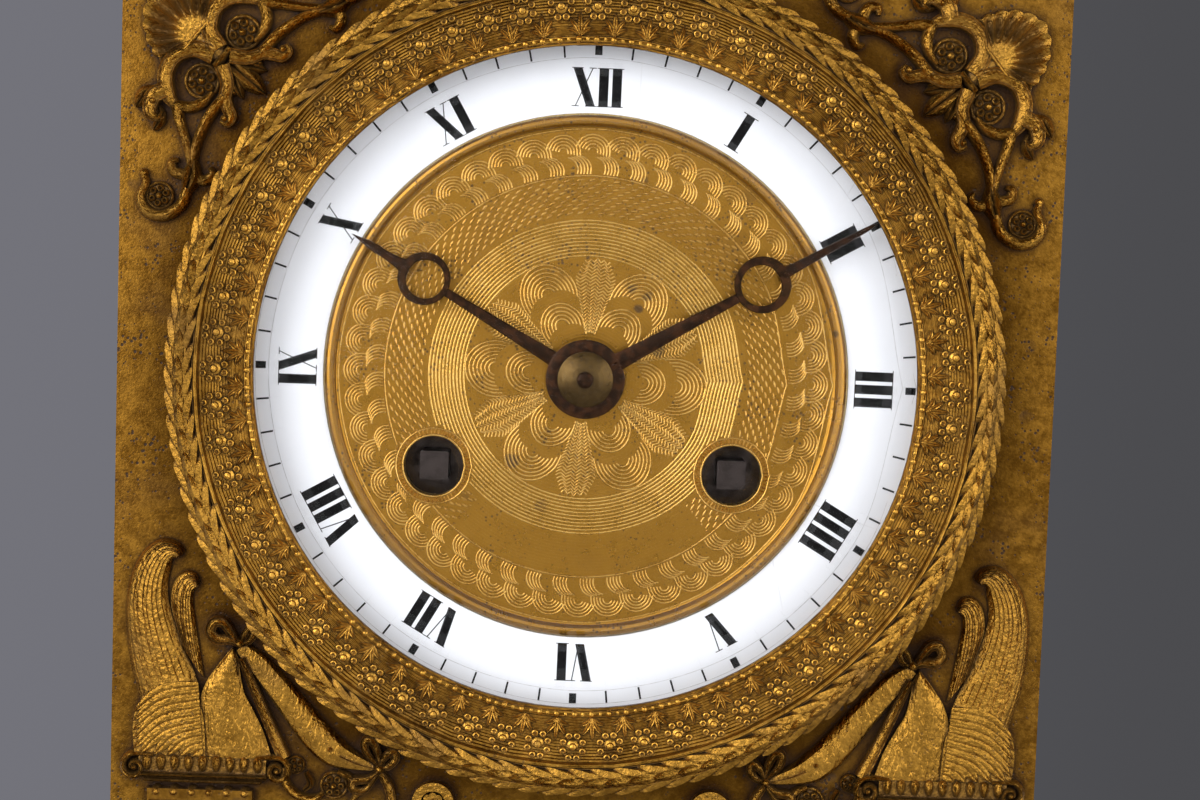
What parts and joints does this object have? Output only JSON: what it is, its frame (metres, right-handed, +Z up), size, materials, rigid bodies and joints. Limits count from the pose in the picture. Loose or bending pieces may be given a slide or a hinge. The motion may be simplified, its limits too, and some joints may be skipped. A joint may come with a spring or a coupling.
{
  "type": "mantel clock",
  "caption": "Gilt bronze mantel clock: square case on a moulded base, round glazed bezel, enamel chapter ring, two moon hands, striking movement with pendulum.",
  "frame": {"origin": "centre of the bounding box at the surface the feet stand on", "axes": "+Z up, -Y towards the viewer of the dial, +X to that viewer's right"},
  "size_m": [0.2, 0.14, 0.354],
  "materials": {
    "mounts_gilt": "burnished and matte mercury gilding",
    "case_gilt": "aged matte gilding",
    "bezel_gilt": "chased gilding",
    "movement_brass": "polished",
    "steel": "polished, oiled",
    "hand_steel": "dark, browned",
    "enamel": "glossy white enamel",
    "glass": "clear",
    "bell_metal": "turned bell metal"
  },
  "bodies": {
    "case": {"feet": "mounts_gilt", "base_plinth": "case_gilt", "base_mount": "mounts_gilt", "front_panel": "case_gilt", "left_side": "case_gilt", "right_side": "case_gilt", "side_wreaths": "mounts_gilt", "back_panel": "case_gilt", "cornice": "case_gilt", "attic": "case_gilt", "urn": "mounts_gilt", "tie_rods": "steel", "upper_left_mount": "mounts_gilt", "upper_right_mount": "mounts_gilt", "left_swan": "mounts_gilt", "right_swan": "mounts_gilt", "pilasters": "mounts_gilt", "lower_centre_mount": "mounts_gilt", "dial_flange": "movement_brass", "dial_plate": "movement_brass", "enamel_ring": "enamel", "gilt_centre": "bezel_gilt", "front_plate": "movement_brass", "back_plate": "movement_brass", "plate_pillars": "movement_brass", "case_straps": "movement_brass", "strap_screws": "steel", "pendulum_cock": "movement_brass", "bell": "bell_metal", "bell_stand": "movement_brass", "back_ring": "bezel_gilt"},
    "bezel": {"bezel_ring": "bezel_gilt", "bezel_glass": "glass"},
    "back_door": {"back_door": "bezel_gilt"},
    "latch": {"door_latch": "steel"},
    "minute_train": {"centre_wheel": "movement_brass", "cannon_pinion": "steel", "minute_hand": "hand_steel", "hand_collet": "movement_brass"},
    "hour_hand_body": {"hour_wheel": "movement_brass", "hour_hand": "hand_steel"},
    "minute_wheel_body": {"minute_wheel": "movement_brass"},
    "intermediate_body": {"intermediate_wheel": "movement_brass"},
    "going_barrel_body": {"going_barrel": "movement_brass", "going_mainspring": "steel"},
    "going_arbor_body": {"going_arbor": "steel"},
    "going_click_body": {"going_click": "steel"},
    "third_body": {"third_wheel": "movement_brass"},
    "escape_body": {"escape_wheel": "movement_brass"},
    "anchor_body": {"anchor": "steel"},
    "pendulum_body": {"pendulum": "movement_brass"},
    "strike_barrel_body": {"strike_barrel": "movement_brass", "strike_mainspring": "steel"},
    "strike_arbor_body": {"strike_arbor": "steel"},
    "strike_click_body": {"strike_click": "steel"},
    "pin_wheel_body": {"pin_wheel": "movement_brass"},
    "locking_body": {"locking_wheel": "movement_brass"},
    "fly_body": {"fly": "movement_brass"},
    "count_body": {"count_wheel": "movement_brass"},
    "hammer_body": {"hammer": "steel"}
  },
  "joints": [
    {"name": "bezel_swing", "type": "hinge", "parent": "case", "child": "bezel", "pos_m": [0.0627, -0.056, 0.188], "axis": [0, 0, 1], "range_deg": [0, 100]},
    {"name": "back_door_swing", "type": "hinge", "parent": "case", "child": "back_door", "pos_m": [0.054, 0.0558, 0.188], "axis": [0, 0, 1], "range_deg": [-110, 0]},
    {"name": "latch_turn", "type": "hinge", "parent": "back_door", "child": "latch", "pos_m": [-0.043, 0.052, 0.188], "axis": [0, 1, 0], "range_deg": [-90, 0]},
    {"name": "hands_turn", "type": "hinge", "parent": "case", "child": "minute_train", "pos_m": [0, -0.024, 0.188], "axis": [0, 1, 0], "continuous": true},
    {"name": "hour_turn", "type": "hinge", "parent": "case", "child": "hour_hand_body", "pos_m": [0, -0.046, 0.188], "axis": [0, 1, 0], "continuous": true},
    {"name": "minute_wheel_turn", "type": "hinge", "parent": "case", "child": "minute_wheel_body", "pos_m": [0.00362, -0.044, 0.20152], "axis": [0, 1, 0], "continuous": true},
    {"name": "intermediate_turn", "type": "hinge", "parent": "case", "child": "intermediate_body", "pos_m": [0.01665, -0.024, 0.19382], "axis": [0, 1, 0], "continuous": true},
    {"name": "going_barrel_turn", "type": "hinge", "parent": "case", "child": "going_barrel_body", "pos_m": [0.024, -0.024, 0.173], "axis": [0, 1, 0], "continuous": true},
    {"name": "third_turn", "type": "hinge", "parent": "case", "child": "third_body", "pos_m": [-0.0088, -0.024, 0.20324], "axis": [0, 1, 0], "continuous": true},
    {"name": "escape_turn", "type": "hinge", "parent": "case", "child": "escape_body", "pos_m": [0, -0.024, 0.21597], "axis": [0, 1, 0], "continuous": true},
    {"name": "pendulum_swing", "type": "hinge", "parent": "case", "child": "pendulum_body", "pos_m": [0, 0.0025, 0.22857], "axis": [0, 1, 0], "range_deg": [-3.5, 3.5]},
    {"name": "anchor_rock", "type": "hinge", "parent": "case", "child": "anchor_body", "pos_m": [0, -0.024, 0.22857], "axis": [0, 1, 0], "range_deg": [-3.5, 3.5]},
    {"name": "going_winding", "type": "hinge", "parent": "case", "child": "going_arbor_body", "pos_m": [0.024, -0.046, 0.173], "axis": [0, 1, 0], "continuous": true},
    {"name": "going_click_lift", "type": "hinge", "parent": "case", "child": "going_click_body", "pos_m": [0.02975, -0.043, 0.18296], "axis": [0, 1, 0], "range_deg": [-15, 0]},
    {"name": "pin_wheel_turn", "type": "hinge", "parent": "case", "child": "pin_wheel_body", "pos_m": [-0.02246, -0.024, 0.19503], "axis": [0, 1, 0], "continuous": true},
    {"name": "strike_barrel_turn", "type": "hinge", "parent": "case", "child": "strike_barrel_body", "pos_m": [-0.024, -0.024, 0.173], "axis": [0, 1, 0], "continuous": true},
    {"name": "locking_turn", "type": "hinge", "parent": "case", "child": "locking_body", "pos_m": [-0.02654, -0.024, 0.21024], "axis": [0, 1, 0], "continuous": true},
    {"name": "fly_turn", "type": "hinge", "parent": "case", "child": "fly_body", "pos_m": [-0.03759, -0.024, 0.20622], "axis": [0, 1, 0], "continuous": true},
    {"name": "count_turn", "type": "hinge", "parent": "case", "child": "count_body", "pos_m": [-0.01398, -0.004, 0.18146], "axis": [0, 1, 0], "continuous": true},
    {"name": "strike_winding", "type": "hinge", "parent": "case", "child": "strike_arbor_body", "pos_m": [-0.024, -0.046, 0.173], "axis": [0, 1, 0], "continuous": true},
    {"name": "strike_click_lift", "type": "hinge", "parent": "case", "child": "strike_click_body", "pos_m": [-0.02975, -0.043, 0.18296], "axis": [0, 1, 0], "range_deg": [0, 15]},
    {"name": "hammer_lift", "type": "hinge", "parent": "case", "child": "hammer_body", "pos_m": [-0.03846, 0, 0.19503], "axis": [0, 1, 0], "range_deg": [0, 12]}
  ],
  "couplings": [
    {"joint": "hour_turn", "follows": "hands_turn", "ratio": 0.083333},
    {"joint": "minute_wheel_turn", "follows": "hands_turn", "ratio": -0.33333},
    {"joint": "intermediate_turn", "follows": "hands_turn", "ratio": -0.16667},
    {"joint": "going_barrel_turn", "follows": "hands_turn", "ratio": 0.02381},
    {"joint": "third_turn", "follows": "hands_turn", "ratio": -10},
    {"joint": "escape_turn", "follows": "hands_turn", "ratio": 120},
    {"joint": "anchor_rock", "follows": "pendulum_swing", "ratio": 1},
    {"joint": "strike_barrel_turn", "follows": "pin_wheel_turn", "ratio": -0.14286},
    {"joint": "locking_turn", "follows": "pin_wheel_turn", "ratio": -6},
    {"joint": "fly_turn", "follows": "pin_wheel_turn", "ratio": 36},
    {"joint": "count_turn", "follows": "pin_wheel_turn", "ratio": -0.11111}
  ]
}
